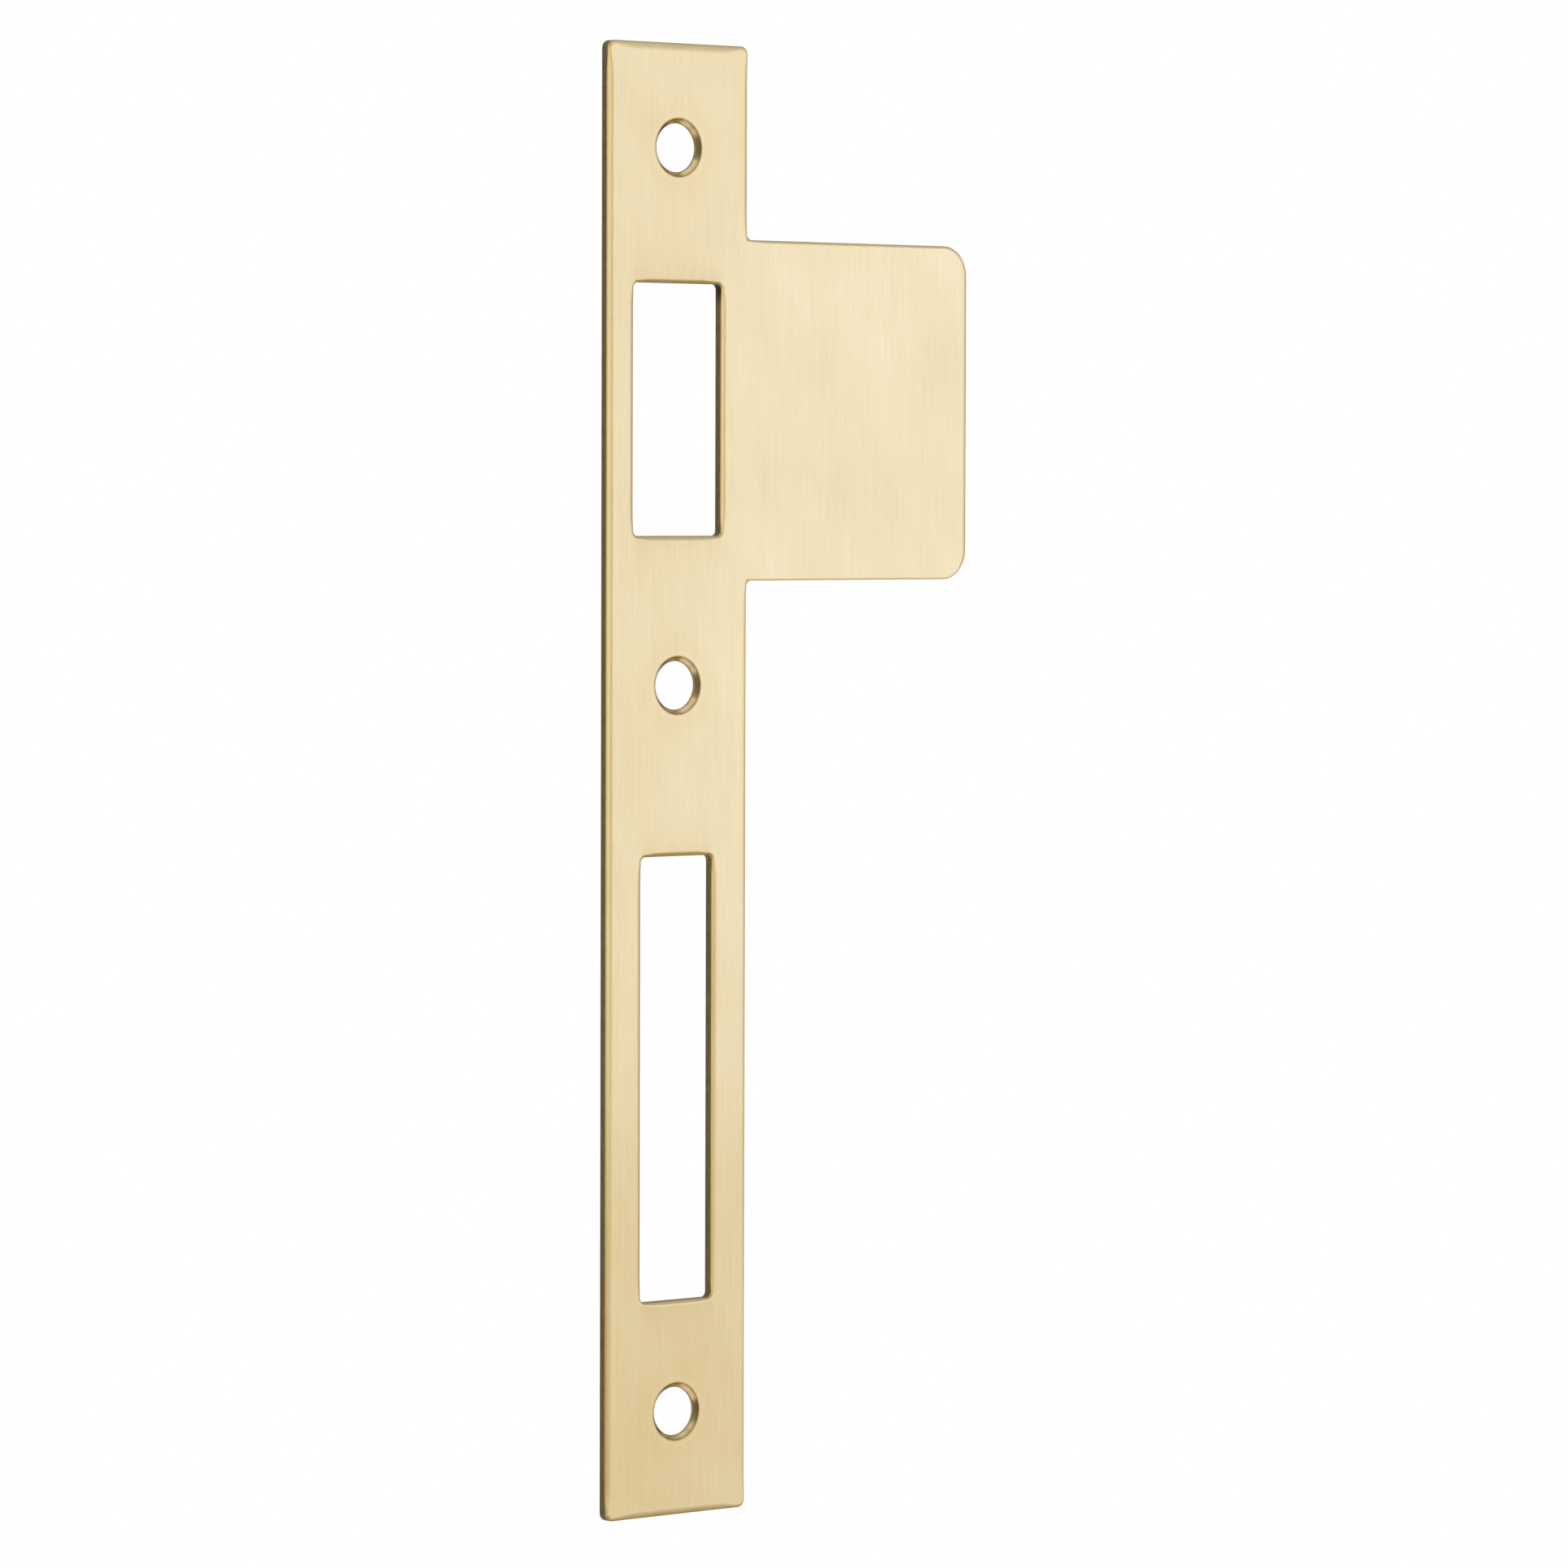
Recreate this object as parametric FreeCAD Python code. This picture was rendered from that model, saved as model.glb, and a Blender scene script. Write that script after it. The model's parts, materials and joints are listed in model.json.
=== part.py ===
import FreeCAD, Part
import math
import os
from FreeCAD import Vector

# Extended strike plate, punched from one piece of flat brass and held on a door jamb by countersunk screws.
# A strip carries the latch opening, with a flat lip beside it, and the deadbolt opening below.
# X runs across the strip towards the lip, Y from the front face into the jamb, and Z up.
# The origin is on the back face, on the strip's centre line and half way up the strip.
# Lengths are in millimetres.

# Strip
strip_width = 24.0
strip_height = 200.0
plate_thickness = 1.5
strip_corner_radius = 1.1

# Lip, centred on the latch opening
lip_reach = 39.4              # from the strip's edge to the lip's free edge
lip_height = 46.6
lip_corner_radius = 4.2
lip_root_radius = 0.8         # inside corners where the lip leaves the strip

# Openings for the latch and the deadbolt, centred on the strip's width
latch_end_margin = 32.4       # metal between the strip's upper end and the latch opening
latch_opening_width = 15.1
latch_opening_height = 34.2
deadbolt_end_margin = 29.3    # metal between the strip's lower end and the deadbolt opening
deadbolt_opening_width = 12.2
deadbolt_opening_height = 60.6
opening_corner_radius = 0.6

# Screw holes, countersunk on both faces because the plate is turned over for a door of the other hand
screw_end_distance = 14.1     # from each end of the strip to the outer holes
middle_screw_rise = 1.45      # the middle hole above the middle of the web between the two openings
screw_hole_diameter = 6.6
countersink_angle = 90.0
countersink_land = 0.2        # straight wall left between the two countersinks

# Edges of the front face, rounded where the punch drew the metal in
front_edge_radius = 0.35

# Levels along the strip, worked out from its two ends
strip_top = strip_height / 2
strip_bottom = -strip_height / 2
latch_top = strip_top - latch_end_margin
latch_bottom = latch_top - latch_opening_height
deadbolt_bottom = strip_bottom + deadbolt_end_margin
deadbolt_top = deadbolt_bottom + deadbolt_opening_height
lip_middle = (latch_top + latch_bottom) / 2
screw_levels = [
    strip_top - screw_end_distance,
    (latch_bottom + deadbolt_top) / 2 + middle_screw_rise,
    strip_bottom + screw_end_distance,
]

NODE = "strike_plate"
FRONT = -plate_thickness      # Y of the front face
OVERCUT = 1.0                 # how far each cutter runs past the faces
SAME_PLACE = 1e-6


def rounded_outline(corners):
    # Closed outline on the back face: straight runs joined by quarter arcs.
    # Each corner is (x, z, radius), taken in order, and every turn is a right angle.
    points = [Vector(x, 0, z) for x, z, _ in corners]
    arcs = []
    for index, corner in enumerate(points):
        radius = corners[index][2]
        to_before = (points[index - 1] - corner).normalize() * radius
        to_after = (points[(index + 1) % len(points)] - corner).normalize() * radius
        centre = corner + to_before + to_after
        middle = centre - (to_before + to_after).normalize() * radius
        arcs.append((corner + to_before, middle, corner + to_after))
    edges = []
    for index, (start, middle, end) in enumerate(arcs):
        edges.append(Part.LineSegment(arcs[index - 1][2], start).toShape())
        edges.append(Part.Arc(start, middle, end).toShape())
    return Part.Wire(edges)


def plate_outline():
    # The strip with the lip standing out from its right-hand edge, in the plane of the plate.
    left = -strip_width / 2
    right = strip_width / 2
    lip_edge = right + lip_reach
    lip_top = lip_middle + lip_height / 2
    lip_bottom = lip_middle - lip_height / 2
    return rounded_outline([
        (left, strip_bottom, strip_corner_radius),
        (right, strip_bottom, strip_corner_radius),
        (right, lip_bottom, lip_root_radius),
        (lip_edge, lip_bottom, lip_corner_radius),
        (lip_edge, lip_top, lip_corner_radius),
        (right, lip_top, lip_root_radius),
        (right, strip_top, strip_corner_radius),
        (left, strip_top, strip_corner_radius),
    ])


def opening_outline(width, bottom, top):
    # A rectangular opening centred on the strip's width.
    half_width = width / 2
    return rounded_outline([
        (-half_width, bottom, opening_corner_radius),
        (half_width, bottom, opening_corner_radius),
        (half_width, top, opening_corner_radius),
        (-half_width, top, opening_corner_radius),
    ])


def through_cutter(outline):
    # The outline carried through the plate, past both faces.
    behind = Part.Face(outline).translated(Vector(0, OVERCUT, 0))
    return behind.extrude(Vector(0, FRONT - 2 * OVERCUT, 0))


def screw_hole_cutter(level):
    # A straight bore between two equal cones that open towards the front and back faces.
    radius = screw_hole_diameter / 2
    depth = (plate_thickness - countersink_land) / 2
    flare = math.tan(math.radians(countersink_angle / 2))
    mouth = radius + (depth + OVERCUT) * flare
    section = Part.makePolygon([
        Vector(0, OVERCUT, level),
        Vector(mouth, OVERCUT, level),
        Vector(radius, -depth, level),
        Vector(radius, FRONT + depth, level),
        Vector(mouth, FRONT - OVERCUT, level),
        Vector(0, FRONT - OVERCUT, level),
        Vector(0, OVERCUT, level),
    ])
    return Part.Face(section).revolve(Vector(0, 0, level), Vector(0, 1, 0), 360)


def front_edges(solid):
    # Every edge that lies in the front face.
    return [edge for edge in solid.Edges
            if all(abs(vertex.Y - FRONT) < SAME_PLACE for vertex in edge.Vertexes)]


def make_strike_plate():
    blank = Part.Face(plate_outline()).extrude(Vector(0, FRONT, 0))
    openings = [
        opening_outline(latch_opening_width, latch_bottom, latch_top),
        opening_outline(deadbolt_opening_width, deadbolt_bottom, deadbolt_top),
    ]
    punched = blank.cut([through_cutter(outline) for outline in openings])
    rounded = punched.makeFillet(front_edge_radius, front_edges(punched))
    return rounded.cut([screw_hole_cutter(level) for level in screw_levels])


plate = make_strike_plate()
os.makedirs("parts", exist_ok=True)
plate.Solids[0].exportStep(os.path.join("parts", NODE + ".step"))
print(NODE, "solids", len(plate.Solids), "valid", plate.isValid(), "volume", round(plate.Volume, 1), "mm3")
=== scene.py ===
import json
import math
import bpy
import numpy as np
from mathutils import Matrix, Vector
from mathutils.geometry import delaunay_2d_cdt


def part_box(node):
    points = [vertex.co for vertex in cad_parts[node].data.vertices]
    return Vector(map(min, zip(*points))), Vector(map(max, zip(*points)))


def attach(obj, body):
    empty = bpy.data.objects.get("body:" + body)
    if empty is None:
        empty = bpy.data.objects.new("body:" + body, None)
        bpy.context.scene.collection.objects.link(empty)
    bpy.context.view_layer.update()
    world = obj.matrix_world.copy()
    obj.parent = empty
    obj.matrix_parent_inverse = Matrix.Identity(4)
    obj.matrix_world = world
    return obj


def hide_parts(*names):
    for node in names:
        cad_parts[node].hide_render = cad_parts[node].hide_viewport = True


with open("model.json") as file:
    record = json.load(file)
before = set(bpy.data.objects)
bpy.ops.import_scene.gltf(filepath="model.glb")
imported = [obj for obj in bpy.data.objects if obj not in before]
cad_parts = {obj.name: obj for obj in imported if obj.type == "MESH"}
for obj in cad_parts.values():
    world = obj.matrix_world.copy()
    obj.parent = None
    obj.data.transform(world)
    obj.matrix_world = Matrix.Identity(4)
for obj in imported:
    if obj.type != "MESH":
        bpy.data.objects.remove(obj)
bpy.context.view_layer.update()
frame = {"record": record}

# Extended strike plate: one piece of brass, punched, brushed lengthwise and lacquered, seen from the left
# of its front. Metres throughout. X runs across the strip towards the lip, Y from the front face back
# into the jamb, Z up.

millimetre = 0.001
brushedShadeSlot, shearedShadeSlot, turnedShadeSlot = 0, 1, 2       # the plate's materials, in their order
mixFirst, mixSecond, mixResult = 6, 7, 2             # the colour sockets of a Mix node


# Small helpers

def linearColour(code):
    # sRGB hex to the linear values that shaders take: the darkest parts in a straight line, the rest as a
    # power
    parts = [int(code[i:i + 2], 16) / 255 for i in (1, 3, 5)]
    return tuple(c / 12.92 if c <= 0.04045 else ((c + 0.055) / 1.055) ** 2.4 for c in parts) + (1.0,)


def addNode(tree, kind, settings=None, links=None):
    # One node: its settings by name, and its inputs by name or number, each either a value or another
    # node's socket
    node = tree.nodes.new(kind)
    for name, value in (settings or {}).items():
        setattr(node, name, value)
    for name, value in (links or {}).items():
        if isinstance(value, bpy.types.NodeSocket):
            tree.links.new(value, node.inputs[name])
        else:
            node.inputs[name].default_value = value
    return node


def setRamp(node, stops):
    # A colour ramp's stops, as position and hex colour
    ramp = node.color_ramp
    while len(ramp.elements) < len(stops):
        ramp.elements.new(0.5)         # any place does, because the next lines move it
    for element, (position, code) in zip(ramp.elements, stops):
        element.position = position
        element.color = linearColour(code)


def newMaterial(name):
    # A material whose tree holds nothing but its output node
    material = bpy.data.materials.new(name)
    material.use_nodes = True
    material.node_tree.nodes.clear()
    return material, material.node_tree, addNode(material.node_tree, "ShaderNodeOutputMaterial")


def placeMesh(name, points, faces, material=None):
    # An object at the origin, with its place in its mesh
    mesh = bpy.data.meshes.new(name)
    mesh.from_pydata(points, [], faces)
    thing = bpy.data.objects.new(name, mesh)
    bpy.context.scene.collection.objects.link(thing)
    if material:
        mesh.materials.append(material)
    return thing


# The plate's mesh

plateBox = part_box("strike_plate")
mounts = {mount["name"]: mount for mount in frame["record"]["mounts"]}

plateShape = {
    "stripHalfWidth": -plateBox[0].x,          # the strip is centred on X, the lip is on its right
    "lipEdge": plateBox[1].x,
    "top": plateBox[1].z,
    "bottom": plateBox[0].z,
    "thickness": -plateBox[0].y,
    "stripCorner": 1.1 * millimetre,
    "lipCorner": 4.2 * millimetre,
    "lipRoot": 0.8 * millimetre,
    "lipHeight": 46.45 * millimetre,
    "latchMargin": 32.4 * millimetre,          # strip above the latch opening
    "latchSize": (15.1 * millimetre, 34.2 * millimetre),
    "deadboltMargin": 29.3 * millimetre,       # strip below the deadbolt opening
    "deadboltSize": (12.2 * millimetre, 60.6 * millimetre),
    "openingCorner": 0.75 * millimetre,
    "landRadius": mounts["outer_screws"]["dims"]["hole_r_mm"] * millimetre,
    "landLength": 0.2 * millimetre,            # straight wall between the two countersinks
    # how wide and how deep, in millimetres, the punch drew the front face down beside each run of its
    # cut: the strip's lower end and right edge, the lip's lower, free and upper edges, and the strip's
    # right edge above the lip, upper end and left edge
    "outlineRolls": [(1.5, 0.17), (0.9, 0.24), (0.3, 0.03), (0.9, 0.27),
                     (0.5, 0.12), (0.9, 0.27), (1.3, 0.17), (1.1, 0.4)],
    # each opening's left, upper, right and lower edges
    "latchRolls": [(0.95, 0.3), (0.7, 0.32), (0.95, 0.32), (0.7, 0.32)],
    "deadboltRolls": [(1.0, 0.32), (0.7, 0.28), (1.05, 0.27), (0.7, 0.28)],
    "insideLoss": 0.35,                        # share of the roll that is lost at the metal's inside corners
    "insideRange": 1.2 * millimetre,           # and how far along the runs that loss fades, there
    "outsideRange": 2.0 * millimetre,          # and at its outside corners
    "arcRoom": 0.8,                            # share of an outside corner's radius that the roll may fill
    "edgeRadius": 0.11 * millimetre,           # the cut's own edges after brushing
    "mouthRadius": 0.1 * millimetre,           # the countersinks' mouths after brushing
    # flat rings of the mesh: round the countersinks, and beside a cut on the back face and on the front
    # face
    "haloRings": [0.15 * millimetre, 0.5 * millimetre, 1.0 * millimetre, 1.8 * millimetre],
    "backRing": 0.4 * millimetre,
    "frontRing": 0.1 * millimetre,
    "arcRing": 1.3,                            # and close to the back arc, in radii of the edge
    # how finely the surfaces are cut up
    "arcSteps": 12,                            # round each quarter arc of an outline
    "holeSteps": 96,                           # round each screw hole
    "runStep": 1.2 * millimetre,               # along the straight runs
    "faceStep": 1.5 * millimetre,              # inside the flat faces
    "faceRoom": 0.7,                           # part of a face step kept free beside the rings
    "mergeGap": 1e-6,                          # millimetres within which points of a face are one
    "backArcSteps": 4,
    "wallSteps": 6,
    "frontArcSteps": 6,
    "rollSteps": 13,
    "mouthSteps": 6,
    "coneSteps": 6,
    "landSteps": 3,
    # how strongly the brush dragged metal over the level edges above and below the latch opening, and
    # then the deadbolt opening
    "drag": [(0.6, 0.35), (0.5, 0.3)],
    "dragReach": 3.0 * millimetre,             # how far up or down it fades
    "dragStart": 0.5 * millimetre,             # how far inside the opening it may start
    "dragPast": 0.3 * millimetre,              # how far it goes past the opening's two sides
    "dragFade": 0.8 * millimetre,              # and over what width it fades there
    "paintedShadeReach": 2.4 * millimetre,            # how far down from the top of the latch's right wall the painted shade there reaches
    "paintedShadeWidth": 0.4 * millimetre,            # points this close to the wall carry it
}


def cornerLoop(corners, rolls, shape):
    # Straight runs joined by quarter arcs, with the metal on the left of the direction of travel. An
    # arc's point is its centre, less r cos a towards the next corner and r sin a towards the last one.
    # Also gives each point's unit vector out of the metal, and the roll's width and depth there: those of
    # its run, mixed round an arc by cos a squared and sin a squared, and less near corners.
    place = np.array([corner[:2] for corner in corners])
    radius = np.array([corner[2] for corner in corners])
    back, ahead = np.roll(place, 1, 0) - place, np.roll(place, -1, 0) - place
    back /= np.linalg.norm(back, axis=1, keepdims=True)
    ahead /= np.linalg.norm(ahead, axis=1, keepdims=True)
    centre = place + radius[:, None] * (back + ahead)
    angle = np.linspace(0, math.pi / 2, shape["arcSteps"] + 1)[:, None]
    rolls = np.array(rolls) * millimetre
    points, headings, sizes = [], [], []
    for i in range(len(corners)):
        following = (i + 1) % len(corners)
        points.append(centre[i] - radius[i] * (ahead[i] * np.cos(angle) + back[i] * np.sin(angle)))
        headings.append(ahead[i] * np.sin(angle) - back[i] * np.cos(angle))
        sizes.append(rolls[i - 1] * np.cos(angle) ** 2 + rolls[i] * np.sin(angle) ** 2)
        start, end = place[i] + radius[i] * ahead[i], place[following] + radius[following] * back[following]
        pieces = max(2, int(np.linalg.norm(end - start) / shape["runStep"]))
        sweep = np.linspace(0, math.pi, pieces + 1)[1:-1, None]
        share = (1 - np.cos(sweep)) / 2                         # closer together near the corners
        points.append(start + (end - start) * share)
        headings.append(np.repeat(ahead[i][None], len(share), 0))
        sizes.append(np.repeat(rolls[i][None], len(share), 0))
    points, heading, size = np.concatenate(points), np.concatenate(headings), np.concatenate(sizes)
    inside = back[:, 0] * ahead[:, 1] - back[:, 1] * ahead[:, 0] > 0
    reach = rolls[:, 0].max() + shape["frontRing"]
    tight = np.maximum(0, 1 - shape["arcRoom"] * radius / reach)        # a roll has to fit the arc
    loss = np.where(inside, shape["insideLoss"], tight)
    spread = np.where(inside, shape["insideRange"], shape["outsideRange"])
    away = np.maximum(0, np.linalg.norm(points[:, None] - place[None], axis=2) - radius)
    left = 1 - (loss * np.exp(-(away / spread) ** 2)).max(1)
    return points, np.stack([heading[:, 1], -heading[:, 0]], 1), size[:, 0] * left, size[:, 1] * left


def circleLoop(level, shape):
    # A hole's circle taken clockwise, so that the metal is on the left; the vectors point to its centre.
    angle = -np.linspace(0, 2 * math.pi, shape["holeSteps"], endpoint=False)
    spoke = np.stack([np.cos(angle), np.sin(angle)], 1)
    return np.array([0, level]) + shape["landRadius"] * spoke, -spoke


def cutProfile(loop, shape):
    # Section of a punched edge from the back face to the front, as distance into the metal and y, for
    # every point of the loop. The wall is straight, its back edge a quarter arc, and the front rolls down
    # to the arc of its front edge as the square of what is left of the roll's width.
    points, outward, width, depth = loop
    t, r = shape["thickness"], shape["edgeRadius"]
    level = np.ones(len(points))
    flat = np.array([[shape["backRing"]], [r * shape["arcRing"]]])
    quarter = np.linspace(0, math.pi / 2, shape["backArcSteps"] + 1)[:, None]
    width = np.maximum(width, 2 * r)                            # room for the front arc
    steepest = math.pi / 2 - np.arctan(2 * depth / width)       # where the roll meets the arc
    turn = steepest * np.linspace(0, 1, shape["frontArcSteps"] + 1)[:, None]
    frontX = r - r * np.cos(turn)
    lift = -t + depth * (1 - frontX[-1] / width) ** 2 + r * np.sin(turn[-1])
    frontY = lift - r * np.sin(turn)
    share = np.linspace(0, 1, shape["rollSteps"] + 1)[1:, None]
    rollX = frontX[-1] + (width - frontX[-1]) * share
    rollY = -t + depth * (1 - rollX / width) ** 2
    wallY = -r + (lift + r) * np.linspace(0, 1, shape["wallSteps"] + 1)[1:-1, None]
    distance = np.vstack([flat * level, (r - r * np.sin(quarter)) * level, wallY * 0, frontX, rollX,
                          width + shape["frontRing"]])
    depths = np.vstack([flat * 0 * level, (-r + r * np.cos(quarter)) * level, wallY, frontY, rollY,
                        -t * level])
    backMiddle = len(flat) + len(quarter) // 2
    frontMiddle = len(flat) + len(quarter) + len(wallY) + len(frontX) // 2
    finish = np.full(len(distance) - 1, brushedShadeSlot)
    finish[backMiddle:frontMiddle] = shearedShadeSlot                # from the middle of one arc to the other's
    return distance, depths, finish


def countersinkProfile(loop, shape):
    # Section of a screw hole from the back face to the front: a cone from each face at 45 degrees, a
    # short straight land between them, and a small arc at each mouth. The flat rings outside the mouths
    # carry the darker ring that the colour puts beside each mouth.
    t, land, r = shape["thickness"], shape["landLength"], shape["mouthRadius"]
    depth = (t - land) / 2
    turn = np.linspace(0, math.pi / 4, shape["mouthSteps"] + 1)
    tangent = r * math.tan(math.pi / 8)                         # from the mouth's corner to its arc
    rings = depth + tangent + np.array(shape["haloRings"])
    mouthX, mouthY = depth + tangent - r * np.sin(turn), r - r * np.cos(turn)
    share = np.linspace(0, 1, shape["coneSteps"] + 1)[1:-1]
    coneX, coneY = mouthX[-1] * (1 - share), mouthY[-1] + (depth - mouthY[-1]) * share
    halfX = np.concatenate([rings[::-1], mouthX, coneX, [0, 0]])
    halfY = np.concatenate([rings * 0, mouthY, coneY, [depth, depth + land / shape["landSteps"]]])
    distance = np.concatenate([halfX, halfX[::-1]])
    depths = np.concatenate([-halfY, -t + halfY[::-1]])
    level = np.ones(len(loop[0]))
    mouth = len(rings) + len(turn) // 2
    finish = np.full(len(distance) - 1, brushedShadeSlot)
    finish[mouth:-mouth] = turnedShadeSlot                           # from the middle of one mouth to the other's
    return distance[:, None] * level, depths[:, None] * level, finish


def sweepProfile(loop, distance, depths):
    # Every profile point carried round the loop: the loop's point moved into the metal by the distance,
    # at the depth
    flat = loop[0][None] - loop[1][None] * distance[..., None]
    grid = np.stack([flat[..., 0], depths, flat[..., 1]], -1)
    rows, count = grid.shape[:2]
    index = np.arange(rows * count).reshape(rows, count)
    after = np.roll(index, -1, 1)
    quads = np.stack([index[:-1], after[:-1], after[1:], index[1:]], -1).reshape(-1, 4)
    return grid.reshape(-1, 3), quads, index


def isWithin(points, ring):
    # A point lies within a ring if a line from it towards +X crosses the ring an odd number of times
    following = np.roll(ring, -1, 0)
    above = (ring[:, 1][:, None] > points[:, 1]) != (following[:, 1][:, None] > points[:, 1])
    rise = following[:, 1] - ring[:, 1]
    run = (following[:, 0] - ring[:, 0]) / np.where(rise == 0, 1, rise)     # a level edge is never crossed
    crossing = ring[:, 0][:, None] + (points[:, 1] - ring[:, 1][:, None]) * run[:, None]
    return (above & (points[:, 0] < crossing)).sum(0) % 2 == 1


def fillFace(rings, ringIndices, y, firstNew, shape, forward):
    # A flat face between the outline and the openings: constrained triangles over the rings and a
    # staggered grid
    step = shape["faceStep"]
    low, high = rings[0].min(0), rings[0].max(0)
    x, z = np.meshgrid(np.arange(low[0], high[0], step), np.arange(low[1], high[1], step))
    extra = np.stack([x.ravel() + np.round(z.ravel() / step) % 2 * step / 2, z.ravel()], 1)
    near = [np.sqrt(((extra[:, None] - ring[None]) ** 2).sum(-1)).min(1) < step * shape["faceRoom"]
            for ring in rings]
    holes = [isWithin(extra, ring) for ring in rings[1:]]
    extra = extra[isWithin(extra, rings[0]) & ~np.any(near + holes, axis=0)]
    points = np.concatenate(rings + [extra])
    indices = np.concatenate(ringIndices + [firstNew + np.arange(len(extra))])
    starts = np.cumsum([0] + [len(ring) for ring in rings])
    loops = [start + np.arange(len(ring)) for start, ring in zip(starts, rings)]
    edges = np.concatenate([np.stack([loop, np.roll(loop, -1)], 1) for loop in loops])
    flat = [Vector(point) for point in (points / millimetre).tolist()]
    result = delaunay_2d_cdt(flat, edges.tolist(), [], 0, shape["mergeGap"], True)
    triangles = np.array([origin[0] for origin in result[3]])[np.array(result[2])]
    middle = points[triangles].mean(1)
    kept = isWithin(middle, rings[0]) & ~np.any([isWithin(middle, ring) for ring in rings[1:]], axis=0)
    triangles = indices[triangles[kept]]
    added = np.column_stack([extra[:, 0], np.full(len(extra), y), extra[:, 1]])
    return added, triangles if forward else triangles[:, ::-1]


def roundedGap(points, low, high, corner):
    # Distance from a rounded rectangle, less than nothing inside it: how far a point stands out past the
    # rectangle shrunk by its corner radius, less that radius
    low, high = np.array(low), np.array(high)
    past = np.abs(points - (low + high) / 2) - (high - low) / 2 + corner
    return np.linalg.norm(np.maximum(past, 0), axis=1) + np.minimum(past.max(1), 0) - corner


def screwLevels():
    # Upper, middle and lower hole, from the record's two lines of screws
    outer, upper = mounts["outer_screws"], mounts["upper_screws"]
    outerHalf = outer["dims"]["spacing_y_mm"] * millimetre / 2
    upperHalf = upper["dims"]["spacing_y_mm"] * millimetre / 2
    return [outer["pos_m"][2] + outerHalf, upper["pos_m"][2] - upperHalf, outer["pos_m"][2] - outerHalf]


def plateLayout(shape):
    # The openings and the lip as their lower left and upper right corners, from the margins at the
    # strip's two ends
    (latchWidth, latchHeight), (boltWidth, boltHeight) = shape["latchSize"], shape["deadboltSize"]
    latchTop, boltBottom = shape["top"] - shape["latchMargin"], shape["bottom"] + shape["deadboltMargin"]
    openings = [((-latchWidth / 2, latchTop - latchHeight), (latchWidth / 2, latchTop)),
                ((-boltWidth / 2, boltBottom), (boltWidth / 2, boltBottom + boltHeight))]
    lipMiddle, lipHalf = latchTop - latchHeight / 2, shape["lipHeight"] / 2
    return openings, ((0, lipMiddle - lipHalf), (shape["lipEdge"], lipMiddle + lipHalf))


def buildPlate(shape):
    # Each cut's and each hole's profile carried round its loop, and the two flat faces filled between
    # their rings
    half, top, bottom, lipEdge = (shape[key] for key in ("stripHalfWidth", "top", "bottom", "lipEdge"))
    openings, ((_, lipBottom), (_, lipTop)) = plateLayout(shape)
    outline = [
        (-half, bottom, shape["stripCorner"]), (half, bottom, shape["stripCorner"]),
        (half, lipBottom, shape["lipRoot"]), (lipEdge, lipBottom, shape["lipCorner"]),
        (lipEdge, lipTop, shape["lipCorner"]), (half, lipTop, shape["lipRoot"]),
        (half, top, shape["stripCorner"]), (-half, top, shape["stripCorner"]),
    ]
    cuts, r = [cornerLoop(outline, shape["outlineRolls"], shape)], shape["openingCorner"]
    for ((left, low), (right, high)), rolls in zip(openings, (shape["latchRolls"], shape["deadboltRolls"])):
        corners = [(left, low, r), (left, high, r), (right, high, r), (right, low, r)]
        cuts.append(cornerLoop(corners, rolls, shape))
    holes = [circleLoop(level, shape) for level in screwLevels()]
    swept = [(loop, *cutProfile(loop, shape)) for loop in cuts]
    swept += [(loop, *countersinkProfile(loop, shape)) for loop in holes]

    vertices, faces, finishes, count = [], [], [], 0
    backRings, frontRings, backIndices, frontIndices = [], [], [], []
    for loop, distance, depths, finish in swept:
        grid, quads, index = sweepProfile(loop, distance, depths)
        vertices.append(grid)
        faces += (quads + count).tolist()
        finishes.append(np.repeat(finish, len(loop[0])))
        for row, rings, indices in ((0, backRings, backIndices), (-1, frontRings, frontIndices)):
            rings.append(grid[index[row]][:, [0, 2]])
            indices.append(index[row] + count)
        count += len(grid)
    for rings, indices, y, forward in ((frontRings, frontIndices, -shape["thickness"], True),
                                       (backRings, backIndices, 0.0, False)):
        extra, triangles = fillFace(rings, indices, y, count, shape, forward)
        vertices.append(extra)
        faces += triangles.tolist()
        finishes.append(np.full(len(triangles), brushedShadeSlot))
        count += len(extra)
    points = np.concatenate(vertices)
    plate = placeMesh("brushedPlate", points.tolist(), faces)
    mesh = plate.data
    mesh.polygons.foreach_set("use_smooth", np.ones(len(mesh.polygons), bool))
    mesh.polygons.foreach_set("material_index", np.concatenate(finishes).astype(np.int32))
    markFinishAndShade(mesh, points[:, [0, 2]], shape)
    mesh.update()
    print("plate:", len(mesh.vertices), "points,", len(mesh.polygons), "faces")
    return plate


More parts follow.
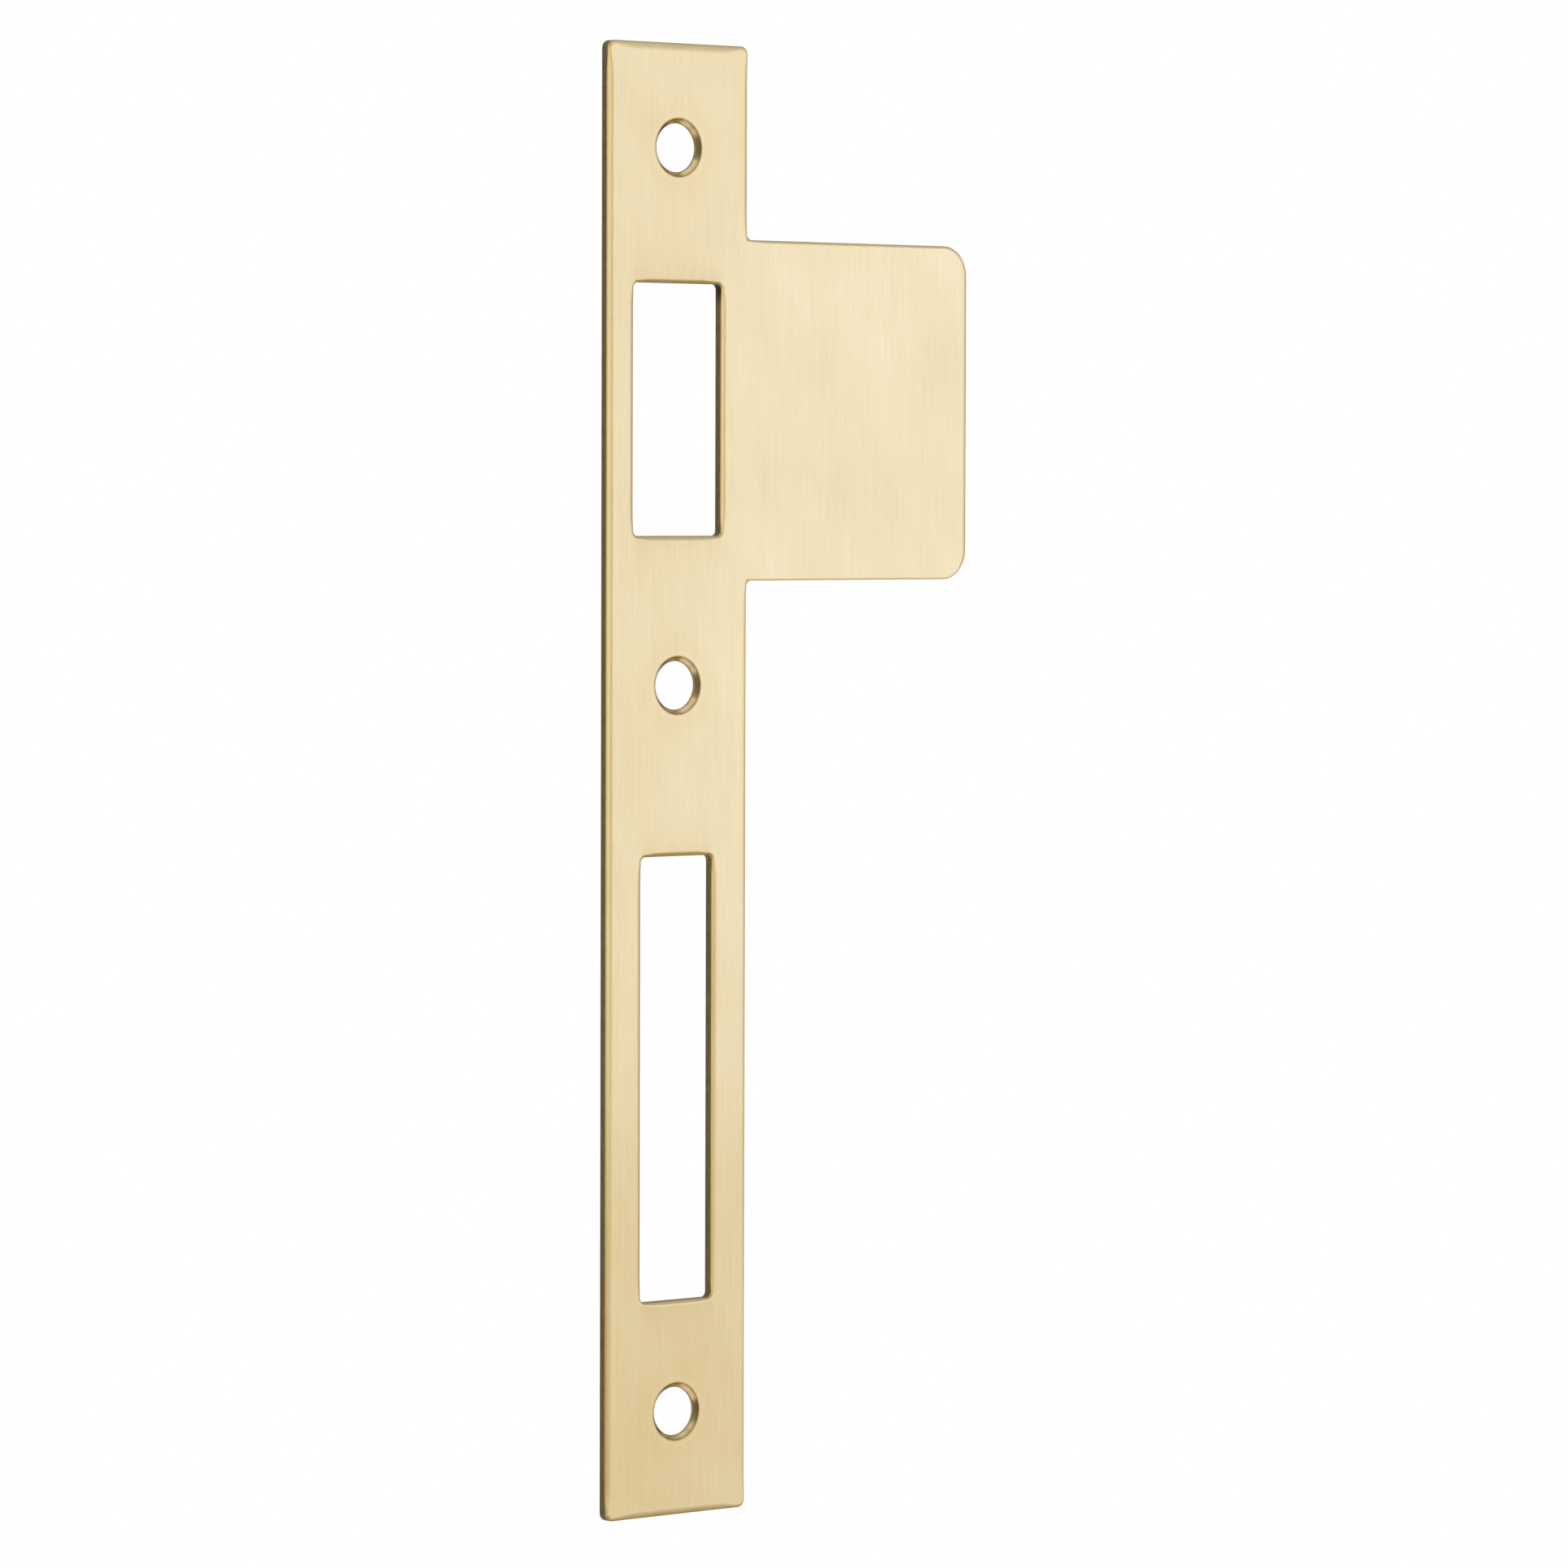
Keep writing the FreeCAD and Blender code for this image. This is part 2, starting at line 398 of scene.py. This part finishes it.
def markFinishAndShade(mesh, flat, shape):
    # What the finish and the painted shade follow: the distance from the nearest cut and from the nearest
    # hole's mouth, in millimetres; how strongly the brush dragged metal over the openings' level edges,
    # which fades with the distance from them; and the painted shade at the top of the latch opening's right
    # wall, which fades as the fourth power of the way down
    openings, lip = plateLayout(shape)
    strip = ((-shape["stripHalfWidth"], shape["bottom"]), (shape["stripHalfWidth"], shape["top"]))
    stripGap = roundedGap(flat, *strip, shape["stripCorner"])
    lipGap = roundedGap(flat, *lip, shape["lipCorner"])
    openingGaps = [roundedGap(flat, low, high, shape["openingCorner"]) for low, high in openings]
    cutGap = np.minimum.reduce([-np.minimum(stripGap, lipGap)] + openingGaps)
    mouth = shape["landRadius"] + (shape["thickness"] - shape["landLength"]) / 2
    holeGap = np.min([np.linalg.norm(flat - (0, level), axis=1) for level in screwLevels()], axis=0) - mouth
    drag = np.zeros(len(flat))
    for ((left, low), (right, high)), (above, below) in zip(openings, shape["drag"]):
        across = np.clip((right + shape["dragPast"] - np.abs(flat[:, 0])) / shape["dragFade"], 0, 1)
        for gap, strength in ((flat[:, 1] - high, above), (low - flat[:, 1], below)):
            fade = np.exp(-np.maximum(gap, 0) / shape["dragReach"])
            drag += across * strength * np.where(gap > -shape["dragStart"], fade, 0)
    latchRight, latchTop = openings[0][1]
    down = (latchTop - flat[:, 1]) / shape["paintedShadeReach"]
    paintedShade = np.exp(-down ** 4) * (np.abs(flat[:, 0] - latchRight) < shape["paintedShadeWidth"])
    marks = {"cutGap": cutGap / millimetre, "holeGap": holeGap / millimetre, "drag": drag, "paintedShade": paintedShade}
    for name, values in marks.items():
        mesh.attributes.new(name, "FLOAT", "POINT").data.foreach_set("value", values.astype(np.float32))


plate = buildPlate(plateShape)


# Materials

brushing = {
    "pale": "#FEF3D5",             # brightest and darkest that the brushing reaches
    "dark": "#E9D6A9",
    "roughness": 0.27,
    "acrossGrain": 0.6,            # anisotropy: highlights spread across the lines
    # each layer of the brushing: its size across and along the lines, how much it counts, and its turn in
    # degrees
    "layers": {
        "lines": (0.24 * millimetre, 7 * millimetre, 0.4, 0),       # grit of 0.1 mm, drawn coarser to show
        "streaks": (1.2 * millimetre, 24 * millimetre, 0.22, 0),
        "clouds": (17 * millimetre, 26 * millimetre, 0.55, 0),
        "smears": (10 * millimetre, 24 * millimetre, 0.45, 40),
    },
    "middle": 0.5,                 # the layers' mean, from dark to pale
    "detail": 3.0,                 # finer octaves of each layer, and how strong each is beside the last
    "octaveShare": 0.55,
    # painted sheen: the face paler from the strip to the lip, standing in for a brighter reflection there
    "paler": (-10 * millimetre, 30 * millimetre, 0.22),     # from the strip to the lip: start, end, how much
    "lineHeight": 0.004 * millimetre,
    # the darker brown beside a cut, which is painted shade along the rolled edges, and the darker brown
    # beside a hole's mouth: the attribute, the millimetres that the ramp covers, and its stops
    "halos": [
        ("cutGap", 2.0, [(0.0, "#D9C8A4"), (0.05, "#E8DDC0"), (0.12, "#FAF6E8"), (0.2, "#FFFFFF")]),
        ("holeGap", 4.0, [(0.0, "#D3C09C"), (0.03, "#F1E7D3"), (0.07, "#FFFFFF"), (0.3, "#FDFBF6"),
                          (1.0, "#FFFFFF")]),
    ],
    "dragColour": "#DCCBA8",
}


def brushedBrassShadeAndSheen():
    # Brushed and lacquered brass: fine lines along the strip, soft streaks and clouds where the belt
    # pressed unevenly, darker brown streaks where it dragged over the openings' level edges, a darker
    # brown ring beside each hole's mouth, painted shade as darker brown beside every cut, a painted sheen
    # that makes the lip paler than the strip, and a satin sheen that spreads sideways.
    material, tree, output = newMaterial("brushedLacqueredBrassShadeAndSheen")
    place = addNode(tree, "ShaderNodeTexCoord").outputs["Object"]
    # painted sheen: paler towards the lip
    start, end, share = brushing["paler"]
    x = addNode(tree, "ShaderNodeSeparateXYZ", None, {"Vector": place}).outputs["X"]
    paler = addNode(tree, "ShaderNodeMapRange", {"interpolation_type": "SMOOTHSTEP"}, {
        "Value": x, "From Min": start, "From Max": end,
        "To Min": -share / 2, "To Max": share / 2}).outputs["Result"]
    base = brushing["middle"] - sum(layer[2] for layer in brushing["layers"].values()) / 2
    tone = addNode(tree, "ShaderNodeMath", {"operation": "ADD"}, {0: paler, 1: base}).outputs[0]
    noises = {}
    for name, (across, along, weight, turn) in brushing["layers"].items():
        turned = addNode(tree, "ShaderNodeMapping", None, {
            "Vector": place, "Rotation": (0, math.radians(turn), 0)})
        stretched = addNode(tree, "ShaderNodeMapping", None, {
            "Vector": turned.outputs["Vector"], "Scale": (1 / across, 1 / across, 1 / along)})
        noises[name] = addNode(tree, "ShaderNodeTexNoise", None, {
            "Vector": stretched.outputs["Vector"], "Scale": 1.0,
            "Detail": brushing["detail"], "Roughness": brushing["octaveShare"]}).outputs["Fac"]
        tone = addNode(tree, "ShaderNodeMath", {"operation": "MULTIPLY_ADD"}, {
            0: noises[name], 1: weight, 2: tone}).outputs[0]
    colour = addNode(tree, "ShaderNodeMix", {"data_type": "RGBA"}, {
        "Factor": tone, mixFirst: linearColour(brushing["dark"]),
        mixSecond: linearColour(brushing["pale"])}).outputs[mixResult]
    # painted shade as darker brown beside every cut, and a darker brown ring beside each hole's mouth
    for attribute, reach, stops in brushing["halos"]:
        gap = addNode(tree, "ShaderNodeAttribute", {"attribute_name": attribute}).outputs["Fac"]
        scaled = addNode(tree, "ShaderNodeMath", {"operation": "DIVIDE"}, {0: gap, 1: reach}).outputs[0]
        ramp = addNode(tree, "ShaderNodeValToRGB", None, {"Fac": scaled})
        setRamp(ramp, stops)
        colour = addNode(tree, "ShaderNodeMix", {"data_type": "RGBA", "blend_type": "MULTIPLY"}, {
            "Factor": 1.0, mixFirst: colour, mixSecond: ramp.outputs["Color"]}).outputs[mixResult]
    drag = addNode(tree, "ShaderNodeAttribute", {"attribute_name": "drag"}).outputs["Fac"]
    dragged = addNode(tree, "ShaderNodeMath", {"operation": "MULTIPLY"}, {
        0: drag, 1: noises["streaks"]}).outputs[0]
    colour = addNode(tree, "ShaderNodeMix", {"data_type": "RGBA", "blend_type": "MULTIPLY"}, {
        "Factor": dragged, mixFirst: colour,
        mixSecond: linearColour(brushing["dragColour"])}).outputs[mixResult]
    bump = addNode(tree, "ShaderNodeBump", None, {
        "Strength": 1.0, "Distance": brushing["lineHeight"], "Height": noises["lines"]})
    tangent = addNode(tree, "ShaderNodeTangent", {"direction_type": "RADIAL", "axis": "Z"})
    shader = addNode(tree, "ShaderNodeBsdfPrincipled", None, {
        "Base Color": colour, "Metallic": 1.0, "Roughness": brushing["roughness"],
        "Anisotropic": brushing["acrossGrain"],
        "Normal": bump.outputs["Normal"], "Tangent": tangent.outputs["Tangent"]})
    tree.links.new(shader.outputs["BSDF"], output.inputs["Surface"])
    return material


shearingAndShade = {
    # the walls' colours: partly the dull colour of sheared brass, partly painted shade
    "dark": "#4A3B24",
    "pale": "#7C6B4B",
    "roughness": 0.5,
    # each layer: its size across, through and along the plate, and how much it counts; first the torn
    # patches, taller than wide, and then the lines that the punch left through the plate
    "layers": [
        ((0.7 * millimetre, 0.5 * millimetre, 1.6 * millimetre), 0.9),
        ((0.12 * millimetre, 2.0 * millimetre, 0.12 * millimetre), 0.6),
    ],
    "detail": 3.0,
    "height": 0.03 * millimetre,
    "darker": 0.3,                 # taken off the layers' sum
    # paler near the front, where the punch rubbed: where it starts and ends, and how much
    "burnish": (-0.7 * millimetre, -1.25 * millimetre, 0.25),
    # painted shade at the top of the latch opening's right wall, darker than the rest of the wall
    "paintedShade": "#1A1206",
    "paintedShadeShare": 0.8,
}


def shearedBrassAndShade():
    # Sheared brass: the walls that the punch cut and tore, rough and mottled, with fine scores through
    # the plate. Their dark brown is partly the dull colour of sheared metal and partly painted shade, and
    # the dark patch at the top of the latch opening's right wall is painted shade.
    material, tree, output = newMaterial("shearedBrassEdgeAndShade")
    place = addNode(tree, "ShaderNodeTexCoord").outputs["Object"]
    start, end, share = shearingAndShade["burnish"]
    y = addNode(tree, "ShaderNodeSeparateXYZ", None, {"Vector": place}).outputs["Y"]
    tone = addNode(tree, "ShaderNodeMapRange", {"interpolation_type": "SMOOTHSTEP"}, {
        "Value": y, "From Min": start, "From Max": end,
        "To Min": -shearingAndShade["darker"], "To Max": share - shearingAndShade["darker"]}).outputs["Result"]
    for size, weight in shearingAndShade["layers"]:
        stretched = addNode(tree, "ShaderNodeMapping", None, {
            "Vector": place, "Scale": [1 / length for length in size]})
        noise = addNode(tree, "ShaderNodeTexNoise", None, {
            "Vector": stretched.outputs["Vector"], "Scale": 1.0, "Detail": shearingAndShade["detail"]}).outputs["Fac"]
        tone = addNode(tree, "ShaderNodeMath", {"operation": "MULTIPLY_ADD"}, {
            0: noise, 1: weight, 2: tone}).outputs[0]
    colour = addNode(tree, "ShaderNodeMix", {"data_type": "RGBA"}, {
        "Factor": tone, mixFirst: linearColour(shearingAndShade["dark"]),
        mixSecond: linearColour(shearingAndShade["pale"])}).outputs[mixResult]
    # painted shade at the top of the latch opening's right wall
    paintedShade = addNode(tree, "ShaderNodeAttribute", {"attribute_name": "paintedShade"}).outputs["Fac"]
    paintedShadeAmount = addNode(tree, "ShaderNodeMath", {"operation": "MULTIPLY"}, {
        0: paintedShade, 1: shearingAndShade["paintedShadeShare"]}).outputs[0]
    colour = addNode(tree, "ShaderNodeMix", {"data_type": "RGBA"}, {
        "Factor": paintedShadeAmount, mixFirst: colour,
        mixSecond: linearColour(shearingAndShade["paintedShade"])}).outputs[mixResult]
    bump = addNode(tree, "ShaderNodeBump", None, {
        "Strength": 1.0, "Distance": shearingAndShade["height"], "Height": tone})
    shader = addNode(tree, "ShaderNodeBsdfPrincipled", None, {
        "Base Color": colour, "Metallic": 1.0, "Roughness": shearingAndShade["roughness"],
        "Normal": bump.outputs["Normal"]})
    tree.links.new(shader.outputs["BSDF"], output.inputs["Surface"])
    return material


turningAndShade = {
    # from the land in the middle of the plate out to the mouths at its faces: darker than the face all
    # along and darkest at the land, which is painted shade deep in the hole
    "ramp": [(0.0, "#6E5A3A"), (0.14, "#A8905F"), (0.4, "#DCC99E"), (0.75, "#CDB88B"), (0.97, "#A98F60")],
    "roughness": 0.24,
    "rings": 0.07 * millimetre,        # feed of the countersink's cutter
    "along": 6 * millimetre,           # how far a ring runs before it changes
    "detail": 1.0,
    "height": 0.004 * millimetre,
}


def turnedBrassAndShade():
    # Turned brass: bright cones with the cutter's fine rings, darker towards the land in the middle of
    # the plate: painted shade deep in the hole.
    material, tree, output = newMaterial("turnedBrassCountersinkAndShade")
    place = addNode(tree, "ShaderNodeTexCoord").outputs["Object"]
    depth = addNode(tree, "ShaderNodeSeparateXYZ", None, {"Vector": place}).outputs["Y"]
    middle = plateShape["thickness"] / 2
    fromLand = addNode(tree, "ShaderNodeMath", {"operation": "ADD"}, {0: depth, 1: middle}).outputs[0]
    either = addNode(tree, "ShaderNodeMath", {"operation": "ABSOLUTE"}, {0: fromLand}).outputs[0]
    share = addNode(tree, "ShaderNodeMath", {"operation": "DIVIDE"}, {0: either, 1: middle}).outputs[0]
    ramp = addNode(tree, "ShaderNodeValToRGB", None, {"Fac": share})
    setRamp(ramp, turningAndShade["ramp"])
    stretched = addNode(tree, "ShaderNodeMapping", None, {
        "Vector": place, "Scale": (1 / turningAndShade["along"], 1 / turningAndShade["rings"], 1 / turningAndShade["along"])})
    rings = addNode(tree, "ShaderNodeTexNoise", None, {
        "Vector": stretched.outputs["Vector"], "Scale": 1.0, "Detail": turningAndShade["detail"]}).outputs["Fac"]
    bump = addNode(tree, "ShaderNodeBump", None, {
        "Strength": 1.0, "Distance": turningAndShade["height"], "Height": rings})
    shader = addNode(tree, "ShaderNodeBsdfPrincipled", None, {
        "Base Color": ramp.outputs["Color"], "Metallic": 1.0, "Roughness": turningAndShade["roughness"],
        "Normal": bump.outputs["Normal"]})
    tree.links.new(shader.outputs["BSDF"], output.inputs["Surface"])
    return material


for material in (brushedBrassShadeAndSheen(), shearedBrassAndShade(), turnedBrassAndShade()):
    plate.data.materials.append(material)
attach(plate, "root")
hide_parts("strike_plate")
print("materials:", len(plate.data.materials))


# Floor, light and camera

stage = {
    "floorDrop": 0.15,             # the plate is fixed to a jamb in use, so the floor lies clear below it
    "floorHalf": 6.0,
    "floorColour": "#F3EEE5",
    "white": "#FFFFFF",
    "floorWhiteFrom": 0.3,         # the floor turns white away from the plate, between these distances
    "floorWhiteTo": 0.75,
    "worldStrength": 1.0,          # a white world at the level at which a colour renders as it is written
    # boards out of the camera's sight, that give the metal something to mirror: how far away each stands,
    # where it starts and ends round the plate, in degrees from the front, how far down and up it reaches,
    # and its colour
    "boards": {
        "leftBoard": (1.5, -63, -44, -41, 41, "#3C3322"),
        "frontBoard": (0.6, -2, 13, -30, 30, "#BC9834"),
        "gapBoard": (1.5, -41, -2, -60, 60, "#FBFBE9"),
        "lowLeftBoard": (0.6, -41, -2, -22.6, -10, "#CBC09A"),
        "sideBoard": (1.5, 62, 94, -40, 40, "#DFCBB2"),
        "topBoard": (1.5, -30, 110, 18, 62, "#C4C4C0"),
        "upperBoard": (1.5, -30, 110, 13, 18, "#EBDABF"),
        "rightBoard": (1.5, 94, 123, -58, 58, "#564830"),
        "bottomBoard": (1.5, -30, 110, -62, -22, "#B3A384"),
        "lowBoard": (0.6, 0, 75, -22.6, -10, "#EBE4D4"),
    },
    "boardSteps": 8,               # round each board
}


def makeFloor():
    # Pale paper, turning white away from the plate
    h, z = stage["floorHalf"], plateShape["bottom"] - stage["floorDrop"]
    material, tree, output = newMaterial("palePaper")
    place = addNode(tree, "ShaderNodeTexCoord").outputs["Object"]
    away = addNode(tree, "ShaderNodeVectorMath", {"operation": "LENGTH"}, {0: place}).outputs["Value"]
    share = addNode(tree, "ShaderNodeMapRange", {"interpolation_type": "SMOOTHSTEP"}, {
        "Value": away, "From Min": stage["floorWhiteFrom"],
        "From Max": stage["floorWhiteTo"]}).outputs["Result"]
    colour = addNode(tree, "ShaderNodeMix", {"data_type": "RGBA"}, {
        "Factor": share, mixFirst: linearColour(stage["floorColour"]),
        mixSecond: linearColour(stage["white"])}).outputs[mixResult]
    shader = addNode(tree, "ShaderNodeBsdfDiffuse", None, {"Color": colour})
    tree.links.new(shader.outputs["BSDF"], output.inputs["Surface"])
    floor = placeMesh("floor", [(-h, -h, z), (h, -h, z), (h, h, z), (-h, h, z)], [(0, 1, 2, 3)], material)
    floor.visible_glossy = False       # the metal mirrors the boards and the white world


def makeBoards():
    # Boards on a cylinder about the plate: a point is the distance times the sine and cosine of its
    # bearing, and its height the distance times the tangent of its angle up or down
    for name, (distance, start, end, low, high, colour) in stage["boards"].items():
        material, tree, output = newMaterial(name)
        shader = addNode(tree, "ShaderNodeEmission", None, {"Color": linearColour(colour), "Strength": 1.0})
        tree.links.new(shader.outputs["Emission"], output.inputs["Surface"])
        bearing = np.radians(np.linspace(start, end, stage["boardSteps"] + 1))
        flat = distance * np.stack([np.sin(bearing), -np.cos(bearing)], 1)
        rows = [np.column_stack([flat, np.full(len(flat), distance * math.tan(math.radians(angle)))])
                for angle in (low, high)]
        index = np.arange(len(flat) - 1)
        faces = np.stack([index, index + 1, index + 1 + len(flat), index + len(flat)], 1)
        board = placeMesh(name, np.concatenate(rows).tolist(), faces.tolist(), material)
        board.visible_camera = board.visible_diffuse = board.visible_shadow = False


def makeWorld():
    # Even white light from all round
    world = bpy.data.worlds.new("studio")
    world.use_nodes = True
    background = world.node_tree.nodes["Background"]
    background.inputs["Color"].default_value = linearColour(stage["white"])
    background.inputs["Strength"].default_value = stage["worldStrength"]
    bpy.context.scene.world = world


camera = {
    "azimuth": -38.96,       # degrees, to the left of the front
    "elevation": 2.39,
    "roll": 0.16,
    "distance": 0.964,
    "aim": (18.62 * millimetre, -1.5 * millimetre, -0.73 * millimetre),
    "focalPixels": 8639,     # focal length in pixels of the 1932 pixel wide picture
    "picture": 1932,
    "sensor": 36.0,
    "nearest": 0.05,
}


def makeCamera():
    # The camera's axes: back towards it from the aim, right level, up across both, and then the roll
    # about back.
    a, e, roll = (math.radians(camera[key]) for key in ("azimuth", "elevation", "roll"))
    back = Vector((math.sin(a) * math.cos(e), -math.cos(a) * math.cos(e), math.sin(e)))
    right = Vector((0, 0, 1)).cross(back).normalized()
    up = back.cross(right)
    across = right * math.cos(roll) + up * math.sin(roll)
    upright = up * math.cos(roll) - right * math.sin(roll)
    data = bpy.data.cameras.new("camera")
    data.sensor_width = camera["sensor"]
    data.lens = camera["sensor"] * camera["focalPixels"] / camera["picture"]
    data.clip_start = camera["nearest"]
    lens = bpy.data.objects.new("camera", data)
    bpy.context.scene.collection.objects.link(lens)
    place = Vector(camera["aim"]) + back * camera["distance"]
    lens.matrix_world = Matrix.Translation(place) @ Matrix((across, upright, back)).transposed().to_4x4()
    bpy.context.scene.camera = lens


makeFloor()
makeBoards()
makeWorld()
makeCamera()
bpy.context.scene.view_settings.view_transform = "Standard"
print("stage: floor, boards, world and camera")
